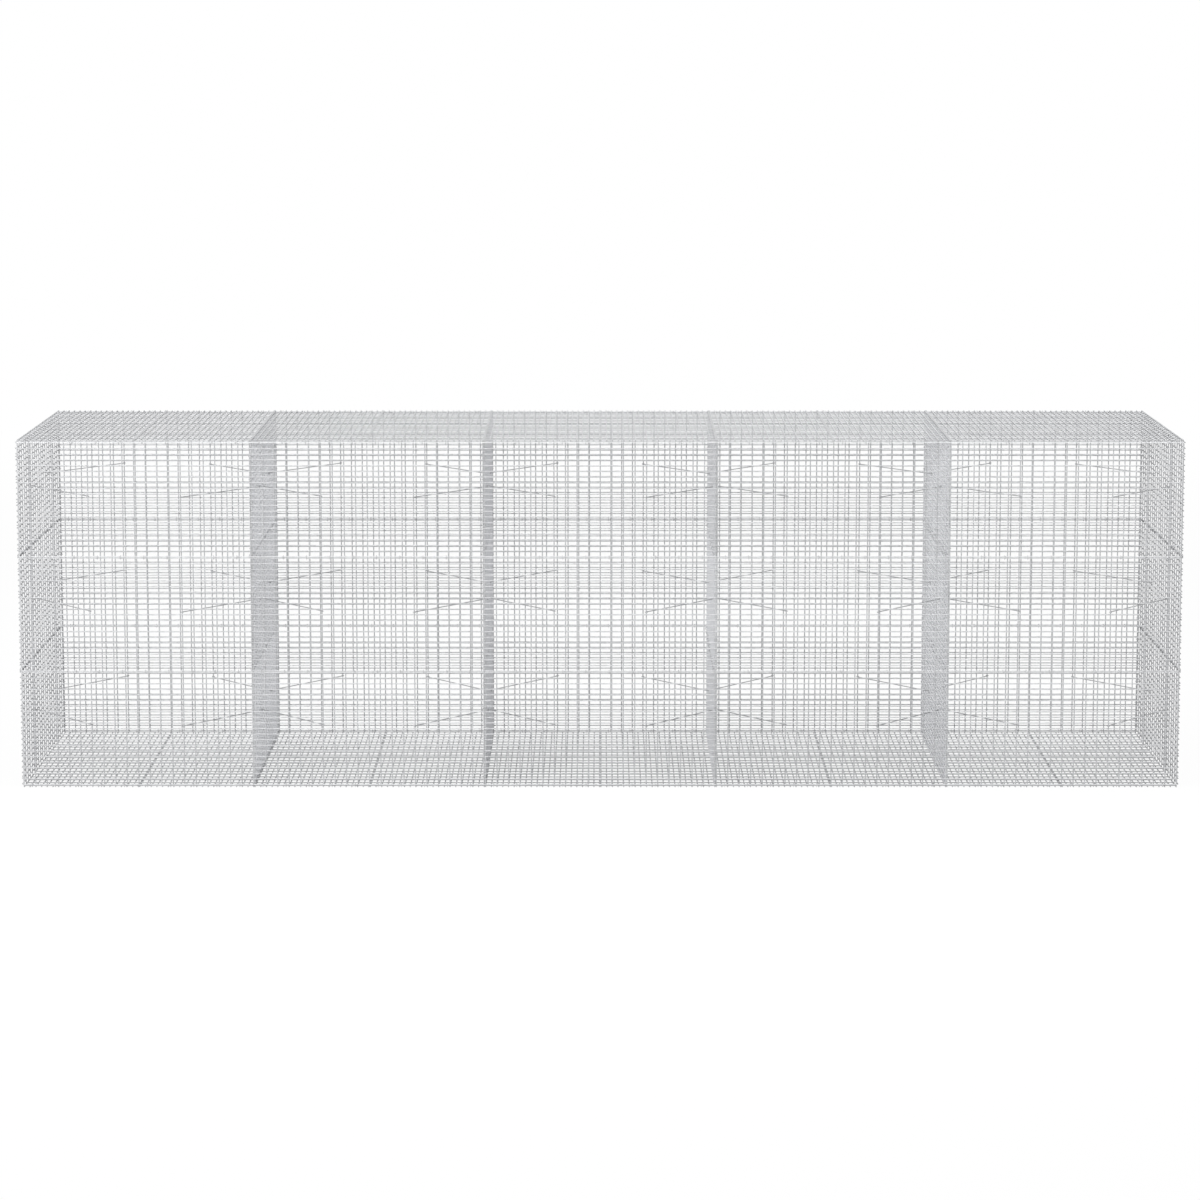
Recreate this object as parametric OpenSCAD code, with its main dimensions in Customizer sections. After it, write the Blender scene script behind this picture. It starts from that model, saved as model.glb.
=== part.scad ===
// Welded mesh gabion wall, shown before it is filled: five bays of three courses with lid, floor, ends and partitions.
// All sizes are in millimetres. X runs along the wall, Y from front to back and Z up.
// The origin is at the middle of the footprint, at the level that the floor wires rest on.

/* [Wall] */
// Length of one bay along the wall
bay_len = 1000; // [600:10:1500]
// Depth of the wall between the upright wires of front and back
wall_depth = 1000; // [600:10:1500]
// Height of one course of panels
course_h = 500; // [300:10:800]
// Panels side by side in the lid and in the floor of one bay
cover_panels = 2; // [1:1:3]

/* [Mesh] */
// Diameter of the mesh wire
wire_d = 5; // [3:0.1:5.6]
// Spacing aimed at for the wires that cross a panel
cross_pitch = 50; // [40:5:100]
// Spacing aimed at for the wires that run the length of a panel
long_pitch = 25; // [20:1:50]
// Distance from the edge of a panel's place to its outermost wire
edge_inset = 3; // [2.8:0.1:4]
// Length of wire left past the outermost weld
wire_tail = 2.7; // [2.2:0.1:2.7]
// Height of the weld between two crossing wires
weld_h = 0.2; // [0.1:0.1:0.5]
// Diameter of the weld at a panel's corner
weld_d = 2.4; // [1.5:0.1:2.8]

/* [Rings] */
// Diameter of the wire that a joining ring is bent from
ring_wire_d = 2.4; // [2:0.1:3]
// Spacing of the joining rings along a seam
ring_pitch = 100; // [75:5:150]
// Distance of the first ring from the start of a seam
ring_start = 38; // [33:1:40]
// Angle left open between the two ends of a ring
ring_mouth = 18; // [8:1:24]

/* [Ties] */
// Diameter of the corner tie rods
tie_d = 4; // [3:0.1:5]
// Distance from a bay's corner to the hook, along each wall
tie_reach = 300; // [200:10:400]
// Angle that a hook turns round its wire
hook_turn = 200; // [180:5:230]

/* [Fit] */
// Clearance between a piece and what it sits on or hooks round
seat_gap = 0.3; // [0.2:0.05:0.4]

/* [Hidden] */
$fn = 24;

bay_count = 5;
course_count = 3;
bays = [0 : bay_count - 1];
courses = [0 : course_count - 1];
inner_lines = [1 : bay_count - 1];

wire_r = wire_d / 2;
// Distance between the axes of two wires that cross at a weld
layer = wire_d + weld_h;
// Gap between the wire ends of a panel and the edge of its place
end_gap = edge_inset - wire_tail;

// Level of the wall panels' lower edge, on top of the floor mesh
base_z = layer + wire_d;
// Level of the wall panels' upper edge, under the lid mesh
top_z = base_z + course_count * course_h;
wall_len = bay_count * bay_len;
front_y = -wall_depth / 2;
back_y = wall_depth / 2;
cover_w = bay_len / cover_panels;

// Ends of the cross panels stop against the upright wires of front and back
cross_seat = wire_r + seat_gap;
cross_inset = cross_seat + wire_tail;

// Wire lengths of the three sizes of panel
wall_panel = [bay_len - 2 * end_gap, course_h - 2 * end_gap];
cross_panel = [wall_depth - 2 * cross_seat, course_h - 2 * end_gap];
cover_panel = [wall_depth + 2 * wire_tail, cover_w - 2 * end_gap];

// Circle through the three upright wires that meet at a partition
upright_shift = (cross_inset * cross_inset - edge_inset * edge_inset) / (2 * cross_inset);
upright_r = cross_inset - upright_shift;
// Half the distance between a lid edge wire and the wall wire below it
cover_half = norm([layer, edge_inset + wire_r]) / 2;
// One ring size goes round all groups of wires
seam_r = max(upright_r, cover_half, edge_inset);
// Distance from a wall's lower or upper edge to the middle of a ring there
edge_z = (edge_inset - wire_r) / 2;

hook_r = wire_r + seat_gap + tie_d / 2;
// Ties from both sides of a partition lie one above the other on the same wire
tie_step = (tie_d + seat_gap) / 2 + seat_gap;

zinc = [0.72, 0.73, 0.75];
ring_zinc = [0.5, 0.51, 0.53];

function line_x(b) = b * bay_len - wall_len / 2;
function course_z(c) = base_z + c * course_h;
function cell_count(run, pitch) = max(2, round(run / pitch));
function wire_at(run, pitch, i) = wire_tail + i * (run - 2 * wire_tail) / cell_count(run - 2 * wire_tail, pitch);
function last_wire(run, pitch) = cell_count(run - 2 * wire_tail, pitch);
// Number of the wire that lies nearest to a distance from the panel's end
function near_wire(run, pitch, dist) = round((dist - wire_tail) * last_wire(run, pitch) / (run - 2 * wire_tail));
function ring_steps(run) = [for (s = [ring_start : ring_pitch : run - ring_start / 2]) s];

// Panels lie flat: length along X, width along Y, crossing wires at level 0 and long wires above them

module long_wire(size, i) {
  translate([0, wire_at(size[1], long_pitch, i), layer])
    rotate([0, 90, 0])
      cylinder(d = wire_d, h = size[0]);
}

module cross_wire(size, i) {
  translate([wire_at(size[0], cross_pitch, i), 0, 0])
    rotate([-90, 0, 0])
      cylinder(d = wire_d, h = size[1]);
}

// The four outermost wires of a panel, welded at the corners
module panel_frame(size) {
  last_long = last_wire(size[1], long_pitch);
  last_cross = last_wire(size[0], cross_pitch);
  union() {
    for (i = [0, last_long]) long_wire(size, i);
    for (i = [0, last_cross]) cross_wire(size, i);
    for (i = [0, last_cross])
      for (j = [0, last_long])
        translate([wire_at(size[0], cross_pitch, i), wire_at(size[1], long_pitch, j), 0])
          cylinder(d = weld_d, h = layer);
  }
}

// All wires of a panel that lie inside its frame
module panel_wires(size) {
  for (i = [1 : last_wire(size[1], long_pitch) - 1]) long_wire(size, i);
  for (i = [1 : last_wire(size[0], cross_pitch) - 1]) cross_wire(size, i);
}

// Places for the panels: each module sets its children where a panel of that wall stands

module at_front(b, c) {
  translate([line_x(b) + end_gap, front_y, course_z(c) + end_gap])
    rotate([90, 0, 0])
      children();
}

module at_back(b, c) {
  translate([line_x(b + 1) - end_gap, back_y, course_z(c) + end_gap])
    rotate([90, 0, 180])
      children();
}

module at_cross_line(b, c) {
  translate([line_x(b), back_y - cross_seat, course_z(c) + end_gap])
    rotate([90, 0, -90])
      children();
}

module at_right_end(c) {
  translate([line_x(bay_count), front_y + cross_seat, course_z(c) + end_gap])
    rotate([90, 0, 90])
      children();
}

module at_lid(b, p) {
  translate([line_x(b) + (p + 1) * cover_w - end_gap, front_y - wire_tail, top_z + wire_r])
    rotate([0, 0, 90])
      children();
}

module at_floor(b, p) {
  translate([line_x(b) + p * cover_w + end_gap, front_y - wire_tail, base_z - wire_r])
    rotate([180, 0, 90])
      children();
}

// Frames of the panels

module front_frames(b) {
  color(zinc)
    for (c = courses) at_front(b, c) panel_frame(wall_panel);
}

module back_frames(b) {
  color(zinc)
    for (c = courses) at_back(b, c) panel_frame(wall_panel);
}

module lid_frames(b) {
  color(zinc)
    for (p = [0 : cover_panels - 1]) at_lid(b, p) panel_frame(cover_panel);
}

module floor_frames(b) {
  color(zinc)
    for (p = [0 : cover_panels - 1]) at_floor(b, p) panel_frame(cover_panel);
}

module cross_frames(b) {
  color(zinc)
    for (c = courses) at_cross_line(b, c) panel_frame(cross_panel);
}

module right_end_frames() {
  color(zinc)
    for (c = courses) at_right_end(c) panel_frame(cross_panel);
}

// Mesh wires inside the frames

module front_mesh() {
  color(zinc)
    for (b = bays)
      for (c = courses) at_front(b, c) panel_wires(wall_panel);
}

module back_mesh() {
  color(zinc)
    for (b = bays)
      for (c = courses) at_back(b, c) panel_wires(wall_panel);
}

module lid_mesh() {
  color(zinc)
    for (b = bays)
      for (p = [0 : cover_panels - 1]) at_lid(b, p) panel_wires(cover_panel);
}

module floor_mesh() {
  color(zinc)
    for (b = bays)
      for (p = [0 : cover_panels - 1]) at_floor(b, p) panel_wires(cover_panel);
}

module end_mesh() {
  color(zinc)
    for (c = courses) {
      at_cross_line(0, c) panel_wires(cross_panel);
      at_right_end(c) panel_wires(cross_panel);
    }
}

module partition_mesh() {
  color(zinc)
    for (b = inner_lines)
      for (c = courses) at_cross_line(b, c) panel_wires(cross_panel);
}

// A hook round the Z axis that starts where the rod ends
module hook() {
  rotate([0, 0, 90])
    rotate_extrude(angle = hook_turn)
      translate([hook_r, 0]) circle(d = tie_d);
}

// A tie from one upright wire to another: it lies along X, and both ends hook round the wires at Y 0
module tie_rod(len) {
  union() {
    translate([0, hook_r, 0])
      rotate([0, 90, 0])
        cylinder(d = tie_d, h = len);
    hook();
    translate([len, 0, 0])
      mirror([1, 0, 0]) hook();
  }
}

// Four ties to a course, across the corners of the bay, halfway between two long wires
module corner_ties(b) {
  along = end_gap + wire_at(wall_panel[0], cross_pitch, near_wire(wall_panel[0], cross_pitch, tie_reach));
  inward = cross_seat + wire_at(cross_panel[0], cross_pitch, near_wire(cross_panel[0], cross_pitch, tie_reach));
  mid_wire = near_wire(wall_panel[1], long_pitch, course_h / 2);
  rise = wire_at(wall_panel[1], long_pitch, mid_wire + 0.5) + end_gap;
  turn = atan2(inward, along);
  color(ring_zinc)
    for (c = courses)
      for (side = [0, 1])
        for (face = [0, 1])
          translate([line_x(b + side), face == 0 ? front_y : back_y, course_z(c) + rise])
            mirror([side, 0, 0])
              mirror([0, face, 0])
                translate([0, inward, side == 0 ? tie_step : -tie_step])
                  rotate([0, 0, -turn])
                    tie_rod(norm([along, inward]));
}

// A joining ring round the Z axis, with its mouth towards X
module ring() {
  rotate([0, 0, ring_mouth / 2])
    rotate_extrude(angle = 360 - ring_mouth, $fn = 48)
      translate([seam_r + wire_r + seat_gap + ring_wire_d / 2, 0])
        circle(d = ring_wire_d, $fn = 6);
}

// Rings along one seam of the front, set out from its upright wires
module seam_rings(out, z) {
  for (b = bays)
    for (s = ring_steps(bay_len))
      translate([line_x(b) + s, front_y - out, z])
        rotate([90, 0, 90]) ring();
}

// Rings of a long face: floor edge and between the courses
module face_rings() {
  seam_rings(layer / 2, base_z + edge_z);
  for (c = [1 : course_count - 1]) seam_rings(layer, course_z(c));
}

module front_rings() {
  color(ring_zinc) face_rings();
}

module back_rings() {
  color(ring_zinc) mirror([0, 1, 0]) face_rings();
}

// Rings between the courses of one cross line, with its long wires on the side towards -X
module cross_rings(x) {
  for (c = [1 : course_count - 1])
    for (s = ring_steps(wall_depth))
      translate([x - layer, front_y + s, course_z(c)])
        rotate([90, 0, 0]) ring();
}

module end_rings() {
  color(ring_zinc) {
    cross_rings(line_x(0));
    mirror([1, 0, 0]) cross_rings(line_x(0));
  }
}

module partition_rings() {
  color(ring_zinc)
    for (b = inner_lines) cross_rings(line_x(b));
}

// Rings round the upright wires where cross panels meet the front and the back
module upright_rings() {
  color(ring_zinc)
    for (face = [0, 1])
      mirror([0, face, 0])
        for (c = courses)
          for (s = ring_steps(course_h)) {
            for (b = inner_lines)
              translate([line_x(b), front_y + upright_shift, course_z(c) + s])
                rotate([0, 0, 90]) ring();
            for (side = [0, 1])
              mirror([side, 0, 0])
                translate([line_x(0) + edge_inset / 2, front_y + cross_inset / 2, course_z(c) + s])
                  rotate([0, 0, 45]) ring();
          }
}

// Rings that hold the lid down along the front and the back
module lid_rings() {
  color(ring_zinc)
    for (face = [0, 1])
      mirror([0, face, 0]) seam_rings(layer / 2, top_z - edge_z);
}

front_frames(0);  // front_frames_bay_1
front_frames(1);  // front_frames_bay_2
front_frames(2);  // front_frames_bay_3
front_frames(3);  // front_frames_bay_4
front_frames(4);  // front_frames_bay_5
back_frames(0);  // back_frames_bay_1
back_frames(1);  // back_frames_bay_2
back_frames(2);  // back_frames_bay_3
back_frames(3);  // back_frames_bay_4
back_frames(4);  // back_frames_bay_5
lid_frames(0);  // lid_frames_bay_1
lid_frames(1);  // lid_frames_bay_2
lid_frames(2);  // lid_frames_bay_3
lid_frames(3);  // lid_frames_bay_4
lid_frames(4);  // lid_frames_bay_5
floor_frames(0);  // floor_frames_bay_1
floor_frames(1);  // floor_frames_bay_2
floor_frames(2);  // floor_frames_bay_3
floor_frames(3);  // floor_frames_bay_4
floor_frames(4);  // floor_frames_bay_5
cross_frames(0);  // left_end_frames
right_end_frames();
cross_frames(1);  // partition_1_frames
cross_frames(2);  // partition_2_frames
cross_frames(3);  // partition_3_frames
cross_frames(4);  // partition_4_frames
front_mesh();
back_mesh();
lid_mesh();
floor_mesh();
end_mesh();
partition_mesh();
corner_ties(0);  // corner_ties_bay_1
corner_ties(1);  // corner_ties_bay_2
corner_ties(2);  // corner_ties_bay_3
corner_ties(3);  // corner_ties_bay_4
corner_ties(4);  // corner_ties_bay_5
front_rings();
back_rings();
end_rings();
partition_rings();
upright_rings();
lid_rings();
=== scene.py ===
import math

import bpy
import numpy as np
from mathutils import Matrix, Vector


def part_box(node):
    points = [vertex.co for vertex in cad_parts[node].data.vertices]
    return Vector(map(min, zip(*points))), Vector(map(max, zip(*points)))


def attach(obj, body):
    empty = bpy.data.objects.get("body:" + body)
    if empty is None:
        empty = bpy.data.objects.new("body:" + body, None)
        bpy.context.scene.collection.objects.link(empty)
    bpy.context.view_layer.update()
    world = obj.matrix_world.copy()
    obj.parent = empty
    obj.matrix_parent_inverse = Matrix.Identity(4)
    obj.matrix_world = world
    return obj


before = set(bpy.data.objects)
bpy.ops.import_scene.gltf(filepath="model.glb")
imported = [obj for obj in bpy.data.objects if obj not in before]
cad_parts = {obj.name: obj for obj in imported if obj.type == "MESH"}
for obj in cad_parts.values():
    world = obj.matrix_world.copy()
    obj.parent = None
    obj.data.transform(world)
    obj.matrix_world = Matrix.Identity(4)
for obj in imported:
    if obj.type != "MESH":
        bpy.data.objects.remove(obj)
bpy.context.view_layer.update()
scene = bpy.context.scene
scene.view_settings.view_transform = "Standard"
print("frame loaded:", len(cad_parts), "nodes")

# how the wall is divided, metres; the places themselves come from the nodes' boxes
wall = {
    "bays": 5,
    "courses": 3,
    "coverPanels": 2,  # lid and floor panels to a bay
    "cells": 20,  # mesh cells along each side of a panel
    "wireTail": 0.0027,  # wire left past the outermost weld
    "panelGap": 0.0006,  # between the wire ends of two panels
    "weldGap": 0.0002,  # between two wires that cross
}
firstLow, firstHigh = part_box("front_frames_bay_1")
secondLow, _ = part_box("front_frames_bay_2")
bayLength = secondLow[0] - firstLow[0]
courseHeight = (firstHigh[2] - firstLow[2] + wall["panelGap"]) / wall["courses"]


def place(tree, kind, at, inputs=None, **settings):
    node = tree.nodes.new(kind)
    node.location = at
    for name, value in settings.items():
        setattr(node, name, value)
    for label, value in (inputs or {}).items():
        node.inputs[label].default_value = value
    return node


def emptyTree(owner):
    owner.use_nodes = True
    owner.node_tree.nodes.clear()
    return owner.node_tree


def newGroup(name, inputs, outputs):
    tree = bpy.data.node_groups.new(name, "ShaderNodeTree")
    for way, sockets in (("INPUT", inputs), ("OUTPUT", outputs)):
        for label, kind in sockets:
            tree.interface.new_socket(label, in_out=way, socket_type="NodeSocket" + kind)
    entry = place(tree, "NodeGroupInput", (-1400, 0))
    leave = place(tree, "NodeGroupOutput", (1200, 0))
    return tree, entry, leave


# zinc on drawn wire: small crystals, dull bloom in patches, a slightly different tone for each panel
zincGrain = {
    "patchDetail": 5,
    "patchRoughness": 0.62,
    "bloomFrom": 0.46,  # patch noise at which bloom begins
    "bloomFull": 0.72,
    "marks": 900,  # scale of the drawing marks
    "markDetail": 3,
    "darkPanel": 0.94,  # tone of the darkest panel
    "lightPanel": 1.05,
    "toneDepth": 4.0,  # one tone goes through the whole depth of the wall
    "toneMargin": 0.01,  # keeps the first wires in their own panel's tone
    "chalk": 0.18,  # roughness that full bloom adds
    "crystalRelief": 0.45,  # share of the crystals in the relief, the rest is marks
    "reliefDepth": 0.0004,
}


def zincCoatGroup():
    tree, entry, leave = newGroup(
        "zincCoat",
        [
            ("Bright", "Color"),
            ("Dull", "Color"),
            ("Bloom", "Color"),
            ("Crystals", "Float"),
            ("Patches", "Float"),
            ("Bloom Amount", "Float"),
            ("Smooth", "Float"),
            ("Rough", "Float"),
            ("Bare Metal", "Float"),
            ("Bloom Metal", "Float"),
        ],
        [("Color", "Color"), ("Roughness", "Float"), ("Metallic", "Float"), ("Height", "Float")],
    )
    link = tree.links.new
    grain = zincGrain
    where = place(tree, "ShaderNodeTexCoord", (-1400, -300))

    crystals = place(tree, "ShaderNodeTexVoronoi", (-1100, 200))
    link(where.outputs["Object"], crystals.inputs["Vector"])
    link(entry.outputs["Crystals"], crystals.inputs["Scale"])
    oneCrystal = place(tree, "ShaderNodeSeparateColor", (-900, 200))
    link(crystals.outputs["Color"], oneCrystal.inputs["Color"])

    spread = {"Detail": grain["patchDetail"], "Roughness": grain["patchRoughness"]}
    patches = place(tree, "ShaderNodeTexNoise", (-1100, -100), spread)
    link(where.outputs["Object"], patches.inputs["Vector"])
    link(entry.outputs["Patches"], patches.inputs["Scale"])
    edge = {"From Min": grain["bloomFrom"], "From Max": grain["bloomFull"]}
    bloomMask = place(tree, "ShaderNodeMapRange", (-900, -100), edge, interpolation_type="SMOOTHSTEP")
    link(patches.outputs["Fac"], bloomMask.inputs["Value"])
    bloom = place(tree, "ShaderNodeMath", (-700, -100), operation="MULTIPLY")
    link(bloomMask.outputs["Result"], bloom.inputs[0])
    link(entry.outputs["Bloom Amount"], bloom.inputs[1])

    fine = {"Scale": grain["marks"], "Detail": grain["markDetail"]}
    streaks = place(tree, "ShaderNodeTexNoise", (-1100, -400), fine)
    link(where.outputs["Object"], streaks.inputs["Vector"])

    offset = (grain["toneMargin"] - firstLow[0], grain["toneDepth"] / 2, -firstLow[2])
    shifted = place(tree, "ShaderNodeVectorMath", (-1100, -700), {1: offset}, operation="ADD")
    link(where.outputs["Object"], shifted.inputs[0])
    cell = (bayLength, grain["toneDepth"], courseHeight)  # one cell for each panel
    snapped = place(tree, "ShaderNodeVectorMath", (-900, -700), {1: cell}, operation="SNAP")
    link(shifted.outputs[0], snapped.inputs[0])
    batch = place(tree, "ShaderNodeTexWhiteNoise", (-700, -700), noise_dimensions="3D")
    link(snapped.outputs[0], batch.inputs["Vector"])
    tones = {"To Min": grain["darkPanel"], "To Max": grain["lightPanel"]}
    batchTone = place(tree, "ShaderNodeMapRange", (-500, -700), tones)
    link(batch.outputs["Value"], batchTone.inputs["Value"])

    bare = place(tree, "ShaderNodeMix", (-500, 300), data_type="RGBA")
    link(oneCrystal.outputs["Red"], bare.inputs["Factor"])
    link(entry.outputs["Dull"], bare.inputs["A"])
    link(entry.outputs["Bright"], bare.inputs["B"])
    coated = place(tree, "ShaderNodeMix", (-300, 200), data_type="RGBA")
    link(bloom.outputs[0], coated.inputs["Factor"])
    link(bare.outputs["Result"], coated.inputs["A"])
    link(entry.outputs["Bloom"], coated.inputs["B"])
    toned = place(tree, "ShaderNodeVectorMath", (0, 200), operation="SCALE")
    link(coated.outputs["Result"], toned.inputs[0])
    link(batchTone.outputs["Result"], toned.inputs["Scale"])
    link(toned.outputs[0], leave.inputs["Color"])

    sheen = place(tree, "ShaderNodeMix", (-300, -100), data_type="FLOAT")
    link(oneCrystal.outputs["Green"], sheen.inputs["Factor"])
    link(entry.outputs["Smooth"], sheen.inputs["A"])
    link(entry.outputs["Rough"], sheen.inputs["B"])
    chalk = {1: grain["chalk"]}
    dulled = place(tree, "ShaderNodeMath", (0, -100), chalk, operation="MULTIPLY_ADD", use_clamp=True)
    link(bloom.outputs[0], dulled.inputs[0])
    link(sheen.outputs["Result"], dulled.inputs[2])
    link(dulled.outputs[0], leave.inputs["Roughness"])

    metal = place(tree, "ShaderNodeMix", (0, -350), data_type="FLOAT")
    link(bloom.outputs[0], metal.inputs["Factor"])
    link(entry.outputs["Bare Metal"], metal.inputs["A"])
    link(entry.outputs["Bloom Metal"], metal.inputs["B"])
    link(metal.outputs["Result"], leave.inputs["Metallic"])

    share = {"Factor": grain["crystalRelief"]}
    relief = place(tree, "ShaderNodeMix", (0, -600), share, data_type="FLOAT")
    link(streaks.outputs["Fac"], relief.inputs["A"])
    link(crystals.outputs["Distance"], relief.inputs["B"])
    link(relief.outputs["Result"], leave.inputs["Height"])
    return tree


zincCoat = zincCoatGroup()


def zincMaterial(name, look):
    material = bpy.data.materials.new(name)
    tree = emptyTree(material)
    coat = place(tree, "ShaderNodeGroup", (-500, 0), look["coat"], node_tree=zincCoat)
    depth = {"Strength": look["bump"], "Distance": zincGrain["reliefDepth"]}
    bump = place(tree, "ShaderNodeBump", (-250, -250), depth)
    surface = place(tree, "ShaderNodeBsdfPrincipled", (0, 0))
    out = place(tree, "ShaderNodeOutputMaterial", (300, 0))
    link = tree.links.new
    link(coat.outputs["Color"], surface.inputs["Base Color"])
    link(coat.outputs["Roughness"], surface.inputs["Roughness"])
    link(coat.outputs["Metallic"], surface.inputs["Metallic"])
    link(coat.outputs["Height"], bump.inputs["Height"])
    link(bump.outputs["Normal"], surface.inputs["Normal"])
    link(surface.outputs["BSDF"], out.inputs["Surface"])
    return material


wireCoat = {"Crystals": 170.0, "Patches": 6.0, "Bloom Amount": 0.55, "Smooth": 0.36, "Rough": 0.52}
rodCoat = {"Crystals": 300.0, "Patches": 9.0, "Bloom Amount": 0.3, "Smooth": 0.28, "Rough": 0.42}
weldCoat = {"Crystals": 500.0, "Patches": 40.0, "Bloom Amount": 0.7, "Smooth": 0.5, "Rough": 0.7}
finishes = {
    "meshZinc": {
        "coat": {
            **wireCoat,
            "Bright": (0.53, 0.535, 0.545, 1),
            "Dull": (0.43, 0.435, 0.445, 1),
            "Bloom": (0.57, 0.575, 0.585, 1),
            "Bare Metal": 0.5,
            "Bloom Metal": 0.25,
        },
        "bump": 0.25,
    },
    "frameZinc": {  # outer wires of the front and back panels, a little paler than the mesh
        "coat": {
            **wireCoat,
            "Bright": (0.6, 0.605, 0.615, 1),
            "Dull": (0.5, 0.505, 0.515, 1),
            "Bloom": (0.64, 0.645, 0.655, 1),
            "Bare Metal": 0.5,
            "Bloom Metal": 0.25,
        },
        "bump": 0.25,
    },
    "innerZinc": {  # partitions, paler than the outer panels: painted light that offsets the shade the outer mesh casts on them
        "coat": {
            **wireCoat,
            "Bright": (0.72, 0.725, 0.745, 1),
            "Dull": (0.6, 0.605, 0.625, 1),
            "Bloom": (0.76, 0.765, 0.785, 1),
            "Bare Metal": 0.45,
            "Bloom Metal": 0.2,
        },
        "bump": 0.25,
    },
    "ringZinc": {
        "coat": {
            **rodCoat,
            "Bright": (0.52, 0.525, 0.535, 1),
            "Dull": (0.42, 0.423, 0.433, 1),
            "Bloom": (0.55, 0.555, 0.56, 1),
            "Bare Metal": 0.7,
            "Bloom Metal": 0.4,
        },
        "bump": 0.15,
    },
    "tieZinc": {  # darker and duller than the mesh
        "coat": {
            **rodCoat,
            "Bright": (0.42, 0.425, 0.435, 1),
            "Dull": (0.34, 0.343, 0.353, 1),
            "Bloom": (0.44, 0.445, 0.45, 1),
            "Bare Metal": 0.3,
            "Bloom Metal": 0.15,
        },
        "bump": 0.15,
    },
    "weldZinc": {  # burnt dull round the electrode marks
        "coat": {
            **weldCoat,
            "Bright": (0.4, 0.4, 0.405, 1),
            "Dull": (0.3, 0.3, 0.305, 1),
            "Bloom": (0.47, 0.47, 0.47, 1),
            "Bare Metal": 0.5,
            "Bloom Metal": 0.2,
        },
        "bump": 0.5,
    },
}
zincs = {name: zincMaterial(name, look) for name, look in finishes.items()}


def zincFor(name):
    if "ring" in name:
        return zincs["ringZinc"]
    if "ties" in name:
        return zincs["tieZinc"]
    # the partitions take the paler zinc, painted light against the shade of the outer mesh
    if "partition" in name:
        return zincs["innerZinc"]
    if name.startswith(("front_frames", "back_frames")):
        return zincs["frameZinc"]
    return zincs["meshZinc"]


for name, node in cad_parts.items():
    node.data.materials.clear()
    node.data.materials.append(zincFor(name))
print("zinc finishes on the wires, rings and ties")


def addPiece(name, points, faces, material):
    mesh = bpy.data.meshes.new(name)
    mesh.from_pydata(points.tolist(), [], faces.tolist())
    mesh.polygons.foreach_set("use_smooth", np.ones(len(faces), dtype=bool))
    mesh.materials.append(material)
    mesh.update()
    piece = bpy.data.objects.new(name, mesh)
    scene.collection.objects.link(piece)
    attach(piece, "root")


# weld beads where the mesh wires cross
welds = {
    "reach": 0.72,  # from the crossing to the tip of a fillet, in wire diameters
    "height": 0.47,  # from the crossing to the top of a bead, in wire diameters
    "spread": 0.12,  # share by which the beads differ in size
    "seed": 11,
}
weldRandom = np.random.default_rng(welds["seed"])


def wirePlaces(low, high, panels):
    run = (high - low - (panels - 1) * wall["panelGap"]) / panels
    step = (run - 2 * wall["wireTail"]) / wall["cells"]
    starts = low + np.arange(panels) * (run + wall["panelGap"]) + wall["wireTail"]
    return (starts[:, None] + np.arange(wall["cells"] + 1) * step).ravel()


def planeAxes(normal):
    return [axis for axis in range(3) if axis != normal]


def crossings(nodeName, normal, panels):
    low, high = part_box(nodeName)
    along = planeAxes(normal)
    first = wirePlaces(low[along[0]], high[along[0]], panels[0])
    second = wirePlaces(low[along[1]], high[along[1]], panels[1])
    spots = np.empty((len(first), len(second), 3))
    spots[..., along[0]] = first[:, None]
    spots[..., along[1]] = second[None, :]
    spots[..., normal] = (low[normal] + high[normal]) / 2  # between the two layers of wire
    return spots.reshape(-1, 3)


def wireDiameter(nodeName, normal):
    low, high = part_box(nodeName)
    return (high[normal] - low[normal] - wall["weldGap"]) / 2


def weldBeads(name, spots, normal, wire):
    along = planeAxes(normal)
    fillets = [(1, 1), (-1, 1), (-1, -1), (1, -1)]  # in the corners between the wires
    top, bottom = len(fillets), len(fillets) + 1
    bead = np.zeros((len(fillets) + 2, 3))
    bead[:top, along] = np.array(fillets) * (wire * welds["reach"] / math.sqrt(2))
    bead[top, normal] = wire * welds["height"]
    bead[bottom, normal] = -wire * welds["height"]
    rim = [(k, (k + 1) % len(fillets)) for k in range(len(fillets))]
    sides = np.array([(a, b, top) for a, b in rim] + [(b, a, bottom) for a, b in rim])
    if normal == 1:
        sides = sides[:, ::-1]  # X and Z make a left-handed pair
    size = 1 + welds["spread"] * weldRandom.uniform(-1, 1, (len(spots), 1, 1))
    points = (spots[:, None, :] + bead * size).reshape(-1, 3)
    faces = (sides[None] + len(bead) * np.arange(len(spots))[:, None, None]).reshape(-1, 3)
    addPiece(name, points, faces, zincs["weldZinc"])
    return len(faces)


bayNumbers = range(1, wall["bays"] + 1)
upright = (1, wall["courses"])  # panels along and up a wall, an end or a partition
flat = (wall["coverPanels"], 1)  # panels along and across a lid or a floor
faceSets = {
    "front_welds": (1, [f"front_frames_bay_{b}" for b in bayNumbers], upright),
    "back_welds": (1, [f"back_frames_bay_{b}" for b in bayNumbers], upright),
    "lid_welds": (2, [f"lid_frames_bay_{b}" for b in bayNumbers], flat),
    "floor_welds": (2, [f"floor_frames_bay_{b}" for b in bayNumbers], flat),
    "end_welds": (0, [f"{side}_end_frames" for side in ("left", "right")], upright),
    "partition_welds": (0, [f"partition_{p}_frames" for p in range(1, wall["bays"])], upright),
}
weldFaces = 0
for name, (normal, nodeNames, panels) in faceSets.items():
    spots = np.concatenate([crossings(nodeName, normal, panels) for nodeName in nodeNames])
    weldFaces += weldBeads(name, spots, normal, wireDiameter(nodeNames[0], normal))
print("weld beads:", weldFaces, "triangles")

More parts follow.
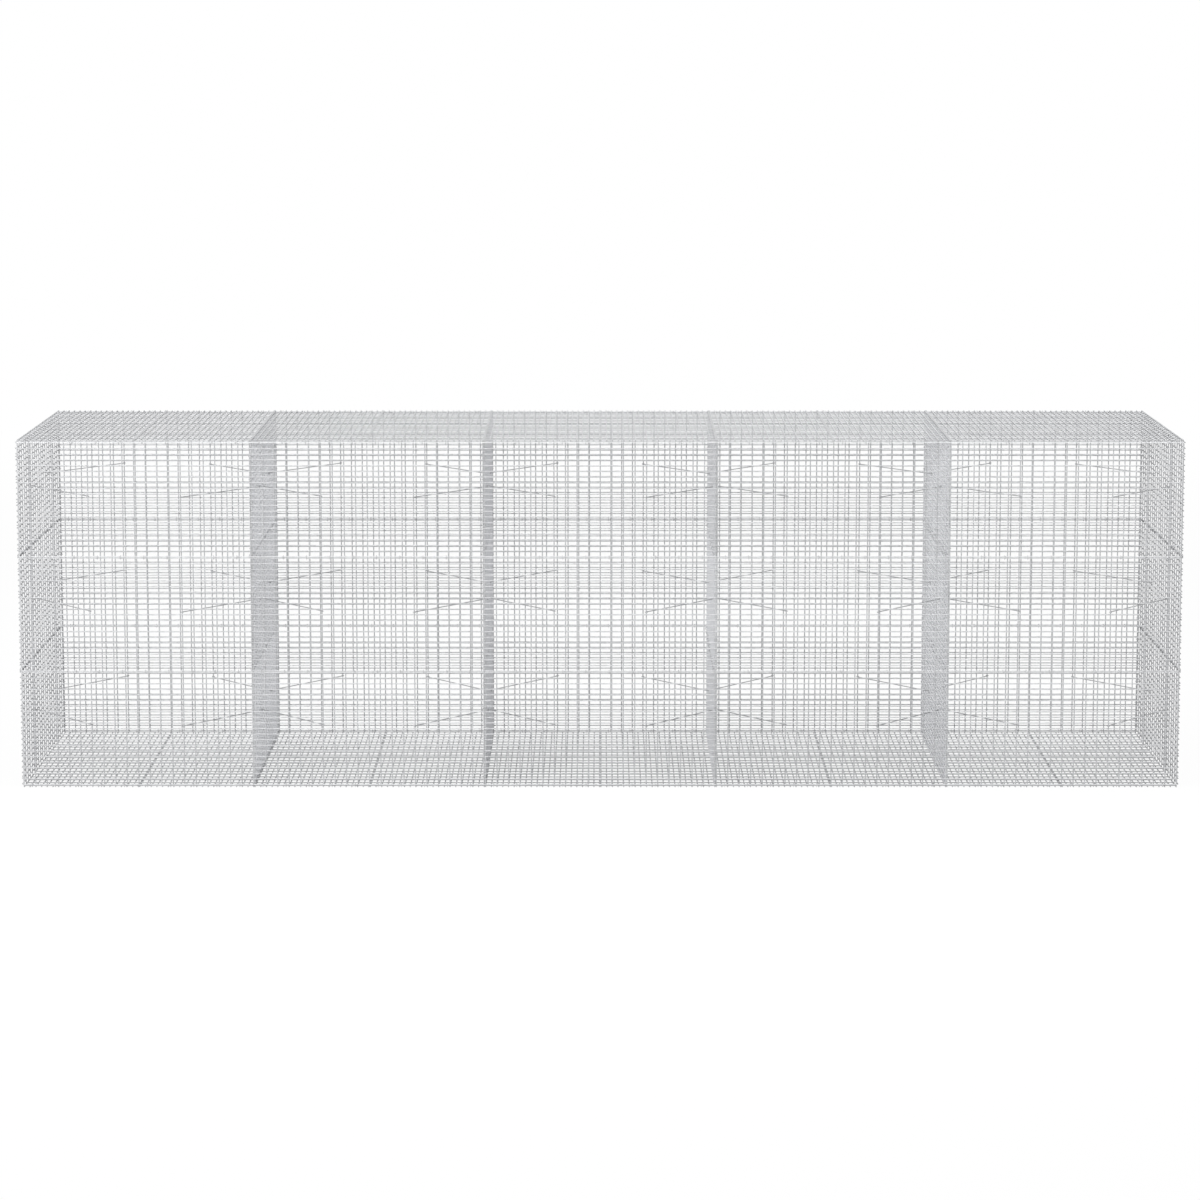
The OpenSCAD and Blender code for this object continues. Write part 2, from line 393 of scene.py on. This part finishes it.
# floor, background and light
studio = {
    "floorSize": 400.0,
    "floorDrop": 0.0004,  # keeps the floor clear of the wires that rest on it
    "floorColor": (0.9, 0.9, 0.9, 1),
    "floorWhite": 0.95,  # share of plain white that the camera sees in the floor near the wall
    "whiteFrom": 4.0,  # distance from which the floor fades to all white
    "whiteTo": 12.0,
    "skyLight": 0.46,
}
lamps = {
    "topLight": {"spot": (0, -1.5, 6.0), "aim": (0, 0, 0.5), "size": (9, 5), "power": 440.0},
    "frontLight": {"spot": (-15, -14, 5.0), "aim": (0, 0, 0.7), "size": (5, 4), "power": 2150.0},
}
plainWhite = (1, 1, 1, 1)


def seenWhite(tree, at):
    rays = place(tree, "ShaderNodeLightPath", at)
    first = place(tree, "ShaderNodeMath", (at[0] + 200, at[1]), operation="MAXIMUM")
    tree.links.new(rays.outputs["Is Camera Ray"], first.inputs[0])
    tree.links.new(rays.outputs["Is Glossy Ray"], first.inputs[1])
    both = place(tree, "ShaderNodeMath", (at[0] + 400, at[1]), operation="MAXIMUM")
    tree.links.new(first.outputs[0], both.inputs[0])
    tree.links.new(rays.outputs["Is Transmission Ray"], both.inputs[1])
    return both.outputs[0]


def studioFloor():
    half = studio["floorSize"] / 2
    corners = [(-half, -half, 0), (half, -half, 0), (half, half, 0), (-half, half, 0)]
    mesh = bpy.data.meshes.new("studio_floor")
    mesh.from_pydata(corners, [], [(0, 1, 2, 3)])
    floor = bpy.data.objects.new("studio_floor", mesh)
    floor.location.z = -studio["floorDrop"]
    scene.collection.objects.link(floor)
    material = bpy.data.materials.new("studioFloor")
    tree = emptyTree(material)
    link = tree.links.new
    matt = place(tree, "ShaderNodeBsdfDiffuse", (0, 0), {"Color": studio["floorColor"]})
    white = place(tree, "ShaderNodeEmission", (0, -150), {"Color": plainWhite, "Strength": 1.0})
    where = place(tree, "ShaderNodeTexCoord", (-800, 450))
    distance = place(tree, "ShaderNodeVectorMath", (-600, 450), operation="LENGTH")
    link(where.outputs["Object"], distance.inputs[0])
    reach = {
        "From Min": studio["whiteFrom"],
        "From Max": studio["whiteTo"],
        "To Min": studio["floorWhite"],
    }
    fade = place(tree, "ShaderNodeMapRange", (-400, 450), reach, interpolation_type="SMOOTHSTEP")
    link(distance.outputs["Value"], fade.inputs["Value"])
    share = place(tree, "ShaderNodeMath", (0, 200), operation="MULTIPLY")
    link(seenWhite(tree, (-800, 200)), share.inputs[0])
    link(fade.outputs["Result"], share.inputs[1])
    mixed = place(tree, "ShaderNodeMixShader", (250, 0))
    link(share.outputs[0], mixed.inputs["Fac"])
    link(matt.outputs["BSDF"], mixed.inputs[1])
    link(white.outputs["Emission"], mixed.inputs[2])
    out = place(tree, "ShaderNodeOutputMaterial", (450, 0))
    link(mixed.outputs["Shader"], out.inputs["Surface"])
    mesh.materials.append(material)


def studioSky():
    world = bpy.data.worlds.new("studioSky")
    scene.world = world
    tree = emptyTree(world)
    link = tree.links.new
    level = {"Color": plainWhite, "Strength": studio["skyLight"]}
    light = place(tree, "ShaderNodeBackground", (0, 0), level)
    white = place(tree, "ShaderNodeBackground", (0, -150), {"Color": plainWhite, "Strength": 1.0})
    mixed = place(tree, "ShaderNodeMixShader", (250, 0))
    link(seenWhite(tree, (-600, 200)), mixed.inputs["Fac"])
    link(light.outputs["Background"], mixed.inputs[1])
    link(white.outputs["Background"], mixed.inputs[2])
    out = place(tree, "ShaderNodeOutputWorld", (450, 0))
    link(mixed.outputs["Shader"], out.inputs["Surface"])


def softbox(name, spot, aim, size, power):
    lamp = bpy.data.lights.new(name, "AREA")
    lamp.shape = "RECTANGLE"
    lamp.size, lamp.size_y = size
    lamp.energy = power
    box = bpy.data.objects.new(name, lamp)
    box.location = spot
    box.rotation_mode = "QUATERNION"
    box.rotation_quaternion = (Vector(aim) - Vector(spot)).to_track_quat("-Z", "Y")
    scene.collection.objects.link(box)


studioFloor()
studioSky()
for name, values in lamps.items():
    softbox(name, **values)
print("studio set")

# long lens from slightly above, square on to the front
view = {
    "spot": (-0.001, -13.323, 3.277),
    "pitch": 6.29,  # degrees down
    "lens": 90.655,
    "sensor": 36,
    "shiftY": -0.2,
    "clipEnd": 500,
}
camera = bpy.data.cameras.new("photoCamera")
camera.lens = view["lens"]
camera.sensor_width = view["sensor"]
camera.shift_y = view["shiftY"]
camera.clip_end = view["clipEnd"]
cameraObject = bpy.data.objects.new("photoCamera", camera)
cameraObject.location = view["spot"]
cameraObject.rotation_euler = (math.radians(90 - view["pitch"]), 0, 0)
scene.collection.objects.link(cameraObject)
scene.camera = cameraObject
